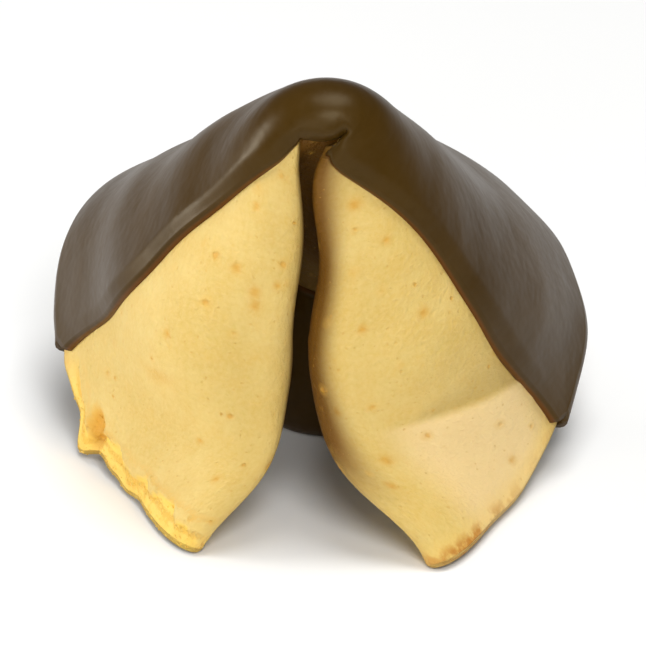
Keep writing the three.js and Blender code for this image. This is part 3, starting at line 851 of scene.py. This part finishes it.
# Each skin: its name, its half of the sheet, its front edge, where it starts and ends to the side, its columns
# and rows, and how much the columns crowd together at its middle.
COATS = [
    ("chocolate_outer", 1, dip_line, -33.8, 38.2, 260, 78, 0.09),
    ("chocolate_mouth", -1, inner_dip_line, -31, 31, 170, 36, 0.04),
]
print("front edge at the middle, mm:", round(float(dip_line(np.zeros(1))[0]), 2))

# %% [markdown]
# ## A skin in columns
# A poured skin has a rounded front edge, an even face, a wrap round the rim and a band inside the mouth. Cut
# from a thickened copy of the wafer, its edge would be ragged. Here every column runs through these four parts
# in order, and a second layer sunk in the wafer closes the skin. Where the sheet turns in under the arch, the
# chocolate levels the hollow, as a liquid would.

# %% Lay out a skin of chocolate
COAT, LIP, BAND, BAND_END = 1.05, 0.45, 8.5, 1.2
EDGE_ROUND, END_ROUND, THICKENS_OVER = 0.5, 0.6, 2.2
INSIDE, INSIDE_AT_ENDS = 0.8, 0.35
EDGE_ROWS, WRAP_ROWS, BAND_ROWS = 7, 8, 16
FACE_CROWDING, BAND_CROWDING = 1.4, 1.6
TAPER, RAMP = 0.3, 0.12
SUNK = 0.25


def coat_points(line, start, end, column_count, face_rows, crowd):
    """Sheet points, angles round the rim, heights, thicknesses and ways from the edge: closed columns."""
    t = np.arange(column_count + 1) / column_count
    x = start + (end - start) * (t + crowd * np.sin(2 * pi * t))
    nearness = np.minimum(t, 1 - t)
    taper, ramp = smooth(nearness / TAPER), smooth(nearness / RAMP)
    full, inside = LIP + (COAT - LIP) * ramp, INSIDE_AT_ENDS + (INSIDE - INSIDE_AT_ENDS) * taper
    front, top = line(x), np.sqrt(DISC_RADIUS**2 - x * x)
    band = np.minimum(BAND_END + (BAND - BAND_END) * taper, 0.8 * (top - front) + END_ROUND)
    zero, one = 0 * top, np.ones_like(top)
    thickness = lambda back: LIP + (full - LIP) * smooth(back / THICKENS_OVER)
    rows = []
    for i in range(EDGE_ROWS):
        back = EDGE_ROUND * (1 - math.cos(i / EDGE_ROWS * pi / 2)) * one
        rows.append((front + back, zero, np.sqrt(1 - (1 - back / EDGE_ROUND) ** 2), thickness(back), back))
    for i in range(face_rows + 1):
        back = EDGE_ROUND + (top - front - EDGE_ROUND) * (i / face_rows) ** FACE_CROWDING
        rows.append((front + back, zero, one, thickness(back), back))
    for i in range(1, WRAP_ROWS):
        s = i / WRAP_ROWS
        rows.append((top, zero + s * pi, one, full + (inside - full) * s, zero + BAND))
    for i in range(BAND_ROWS + 1):
        s = 1 - (1 - i / BAND_ROWS) ** BAND_CROWDING
        near_end = np.clip((s * band - band) / END_ROUND + 1, 0, 1) * (i > BAND_ROWS / 2)
        rows.append((top - s * band, zero + pi, np.sqrt(1 - near_end**2), inside, (1 - s) * band))
    y, angle, rise, thick, edge_way = (np.stack(column, 1) for column in zip(*rows))
    return x[:, None] + 0 * y, y, angle, rise, thick, edge_way


# %% Lay the skin on the sheet
OUT_OF_THE_ARCH = np.array([0, -0.9, 0.44])
LEVELLING, LEVEL_FROM, LEVEL_OVER = 0.85, 4, 7
ARCH_GAP, ARCH_GAP_REACH = 0.6, 5


def coat_mesh(half, *layout):
    """Points, faces and stored values of one skin with its hidden back."""
    parts = coat_points(*layout)
    columns, rows = parts[0].shape
    x, y, angle, rise, thick, edge_way = (v.ravel() for v in parts)
    turn, reach = np.arctan2(half * y, x), np.hypot(x, y)
    ragged = smooth((reach / DISC_RADIUS - 0.8) / 0.2)
    r = reach * (1 + (rim_radius(turn) / DISC_RADIUS - 1) * ragged)
    point, away, normal = sheet_frame(r, turn)
    point = point + normal * unevenness(r, turn)[:, None]
    outside = angle < pi / 2
    level = LEVELLING * smooth((0.9 - np.sin(turn)) / 0.9) * (1 - smooth((r - LEVEL_FROM) / LEVEL_OVER)) * outside
    normal = unit(normal * (1 - level)[:, None] + OUT_OF_THE_ARCH * level[:, None])
    way = normal * np.cos(angle)[:, None] + away * np.sin(angle)[:, None]
    face = outside_depth(r, turn)
    past_arch = smooth((r - LEVEL_FROM) / 3)
    share = np.where(outside, 1 - THINNING * under_arch(r, turn) * past_arch, 1)
    gap = CLEARANCE + ARCH_GAP * hump(r, 0, ARCH_GAP_REACH) + (WALL / 2 - face) * (1 - past_arch)
    values = {
        "flat": np.stack([r * np.cos(turn), r * np.sin(turn), 20 * half + 6 * angle], 1),
        "way": way, "depth": face + gap * rise, "thick": thick * share * rise, "edge": edge_way,
    }
    sunk = {**values, "depth": face - SUNK, "thick": 0 * thick}
    both = {key: np.concatenate([values[key], sunk[key]]) for key in values}
    return np.vstack([point, point]), coat_faces(columns, rows, half < 0), both


def coat_faces(columns, rows, flip):
    """The skin's face, its hidden back, its two long ends and its two side ends."""
    o = lambda c, i: c * rows + i
    q = lambda c, i: (columns + c) * rows + i
    faces = []
    for c in range(columns - 1):
        for i in range(rows - 1):
            faces.append((o(c, i), o(c + 1, i), o(c + 1, i + 1), o(c, i + 1)))
            faces.append((q(c, i), q(c, i + 1), q(c + 1, i + 1), q(c + 1, i)))
        faces.append((o(c, 0), q(c, 0), q(c + 1, 0), o(c + 1, 0)))
        faces.append((o(c, rows - 1), o(c + 1, rows - 1), q(c + 1, rows - 1), q(c, rows - 1)))
    last = columns - 1
    for i in range(rows - 1):
        faces.append((o(0, i), o(0, i + 1), q(0, i + 1), q(0, i)))
        faces.append((o(last, i), q(last, i), q(last, i + 1), o(last, i + 1)))
    return [face[::-1] for face in faces] if flip else faces


print("thickness of the chocolate, mm:", COAT, "and at its front edge:", LIP)

# %% [markdown]
# ## The chocolate's finish
# Dark chocolate that set in cool air is satin, not glossy: it mirrors a soft window as a wide pale band. Its
# brown is nearly black in the shade. Where it runs out to nothing at its edge it lets light through and turns
# warm amber, which draws a thin line along the dip. The band of amber reads the stored way from the edge.

# %% Set chocolate
def set_chocolate():
    material, tree, shader = new_material("dark_chocolate")
    flat = attribute(tree, "flat", "Vector")
    tone = effect(tree, CLOUDS, Place=flat, Size=11.0, Contrast=1.3)["Mask"]
    dust = effect(tree, CLOUDS, Place=flat, Size=0.6, Contrast=1.5)["Mask"]
    pits = effect(tree, PORES, Place=flat, Spacing=4.5, Share=0.25, Width=0.06)["Mask"]
    amber = ramped(tree, attribute(tree, "edge"), 0.2, 0.02)
    dark = mixed(tree, tone, paint(52, 34, 3), paint(70, 48, 7))
    colour = laid_over(tree, dark, [(dust, 0.12, (92, 70, 42)), (amber, 0.6, (106, 60, 24))])
    bumped(tree, shader, 0.6, [(tone, 0.5), (dust, 0.008), (pits, -0.1)])
    feed(tree, shader, {
        "Base Color": colour,
        "Roughness": maths(tree, "MULTIPLY_ADD", dust, 0.06, maths(tree, "MULTIPLY_ADD", tone, 0.08, 0.3)),
        "Specular IOR Level": 0.2,
        "Specular Tint": (1.0, 0.85, 0.56, 1),
    })
    return material


CHOCOLATE_FINISH = set_chocolate()
print("chocolate finish nodes:", len(CHOCOLATE_FINISH.node_tree.nodes))

# %% [markdown]
# ## Pouring
# Melted chocolate sets in long, very low waves. They could be a bump in the finish, but they bend the broad
# highlight, so they are real thickness. One tree pours both skins: it moves every point out to the wafer's face
# and on by the local thickness.

# %% The tree that pours the chocolate
def pour_tree():
    inputs = {"Thickness": 1.0, "Wave height": 0.09, "Wave length": 9.0, "Seed": 3}
    tree, given, out = group_tree("pour the chocolate", "GeometryNodeTree", inputs)
    settings = {"Vector": stored(tree, "flat", "FLOAT_VECTOR"), "W": given["Seed"], "Detail": 1.0,
                "Scale": maths(tree, "DIVIDE", 1.0, given["Wave length"])}
    noise = node(tree, "ShaderNodeTexNoise", settings, noise_dimensions="4D").outputs["Fac"]
    wave = times(tree, maths(tree, "SUBTRACT", noise, 0.75), given["Wave height"])
    grown_by = times(tree, stored(tree, "thick"), maths(tree, "ADD", given["Thickness"], wave))
    total = times(tree, maths(tree, "ADD", stored(tree, "depth"), grown_by), MM)
    offset = scaled(tree, stored(tree, "way", "FLOAT_VECTOR"), total)
    return finish_tree(tree, out, moved_by(tree, given, offset), CHOCOLATE_FINISH)


POUR = pour_tree()
coats = [grown(mesh_object(name, *coat_mesh(*layout)), POUR, {"Seed": 3}) for name, *layout in COATS]

# %% [markdown]
# ## Stand the cookie on the floor
# The folded sheet hangs from its peak, at the origin, so all pieces are moved together to where the fixed
# model stands. The fixed wafer's own box says how far. Anything that would reach under the floor is flattened
# a little, as a cookie's tips are when it is set down warm.

# %% Settle
def places_of(made):
    held = np.empty(len(made.data.vertices) * 3, np.float32)
    made.data.vertices.foreach_get("co", held)
    return held.reshape(-1, 3)


wafer_low, wafer_high = (np.array(c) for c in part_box("wafer"))
low, high = places_of(wafer).min(0), places_of(wafer).max(0)
shift = (wafer_low + wafer_high) / 2 - (low + high) / 2
shift[2] = wafer_high[2] - high[2]
for made, lowest in ((wafer, 0.0), (coats[0], 0.3 * MM), (coats[1], 0.0)):
    places = places_of(made) + shift
    places[:, 2] = np.maximum(places[:, 2], lowest)
    made.data.vertices.foreach_set("co", places.ravel())
    made.data.update()
    print(made.name, "box, mm:", (places.min(0) * 1000).round(2), (places.max(0) * 1000).round(2))

# %% [markdown]
# ## Tie the pieces to the model
# Each dressed piece stands for one fixed piece, which is hidden, and rides on the one body there is.

# %% Replace and ride
for made, stands_for, slot in (
    (wafer, "wafer", "baked_wafer"),
    (coats[0], "chocolate_dome", "dark_chocolate"),
    (coats[1], "chocolate_inner", "dark_chocolate"),
):
    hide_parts(stands_for)
    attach(made, "root")
    print(made.name, "stands for", stands_for)

# %% [markdown]
# ## The floor
# The cookie stands on a plain pale floor, which takes its shadow. It is only there for the picture.

# %% Floor
FLOOR_HALF = 3000
floor_points = FLOOR_HALF * np.array([(-1, -1, 0), (1, -1, 0), (1, 1, 0), (-1, 1, 0)])
floor = mesh_object("floor", floor_points, [(0, 1, 2, 3)], {})
floor_finish, floor_tree, floor_shader = new_material("pale_floor")
feed(floor_tree, floor_shader, {"Base Color": (0.93, 0.93, 0.92, 1), "Roughness": 0.9})
floor.data.materials.append(floor_finish)
print("floor, metres across:", 2 * FLOOR_HALF * MM)

# %% [markdown]
# ## Lights
# Satin chocolate mirrors the lights, so their places and sizes draw its pale bands: a key light above and in
# front, a wide weak one in front, one low on the left and a broad one overhead. One picture of a sky could
# light it all, but then no band could be moved on its own.

# %% Lights
# Each one: its place, what it is aimed at, how wide it is and its power in watts.
LIGHTS = {
    "key": ((0.08, -0.42, 0.42), (0, 0, 0.02), 0.26, 1.78),
    "front": ((-0.2, -0.6, 0.2), (0, 0, 0.02), 0.3, 0.65),
    "left": ((-0.5, 0.06, 0.13), (0, 0, 0.02), 0.2, 1.6),
    "above": ((0.1, 0.04, 0.6), (0, 0, 0), 0.4, 2.4),
}


def aimed(name, data, place, forward):
    """Puts a light or a camera in the scene, at a place and looking forward."""
    made = bpy.data.objects.new(name, data)
    bpy.context.scene.collection.objects.link(made)
    made.location = place
    made.rotation_mode = "QUATERNION"
    made.rotation_quaternion = forward.to_track_quat("-Z", "Y")
    return made


for name, (place, aim, wide, power) in LIGHTS.items():
    lamp = bpy.data.lights.new(name, "AREA")
    lamp.shape, lamp.size, lamp.energy = "DISK", wide, power
    aimed(name, lamp, place, Vector(aim) - Vector(place))
world = bpy.data.worlds.new("studio")
bpy.context.scene.world = world
world.use_nodes = True
sky = world.node_tree.nodes["Background"].inputs
sky["Color"].default_value = (1, 1, 1, 1)
sky["Strength"].default_value = 0.1
bpy.context.scene.view_settings.view_transform = "Standard"
print("lights placed:", len(LIGHTS))

# %% [markdown]
# ## The camera
# The camera is far away with a long lens, 28 degrees above the floor, so the cookie's near and far parts keep
# their true proportions. A lens of the right length follows from the width that has to fill the picture.

# %% Camera
ELEVATION = radians(28)
FIELD, DISTANCE = 63.2 * MM, 1.0
AIM_RIGHT, AIM_UP, AIM_NEAR = 0.26, 11.13, 10.3
SENSOR = 36
forward = Vector((0, math.cos(ELEVATION), -math.sin(ELEVATION)))
upward = Vector((0, math.sin(ELEVATION), math.cos(ELEVATION)))
aim = Vector((AIM_RIGHT * MM, 0, 0)) + upward * AIM_UP * MM - forward * AIM_NEAR * MM
lens = bpy.data.cameras.new("view")
lens.sensor_width, lens.lens = SENSOR, SENSOR * DISTANCE / FIELD
bpy.context.scene.camera = aimed("view", lens, aim - forward * DISTANCE, forward)
print("lens, mm:", round(lens.lens))

# %% [markdown]
# ## Finish
# The scene is brought up to date, so every piece stands where it was placed.

# %% Finish
bpy.context.view_layer.update()
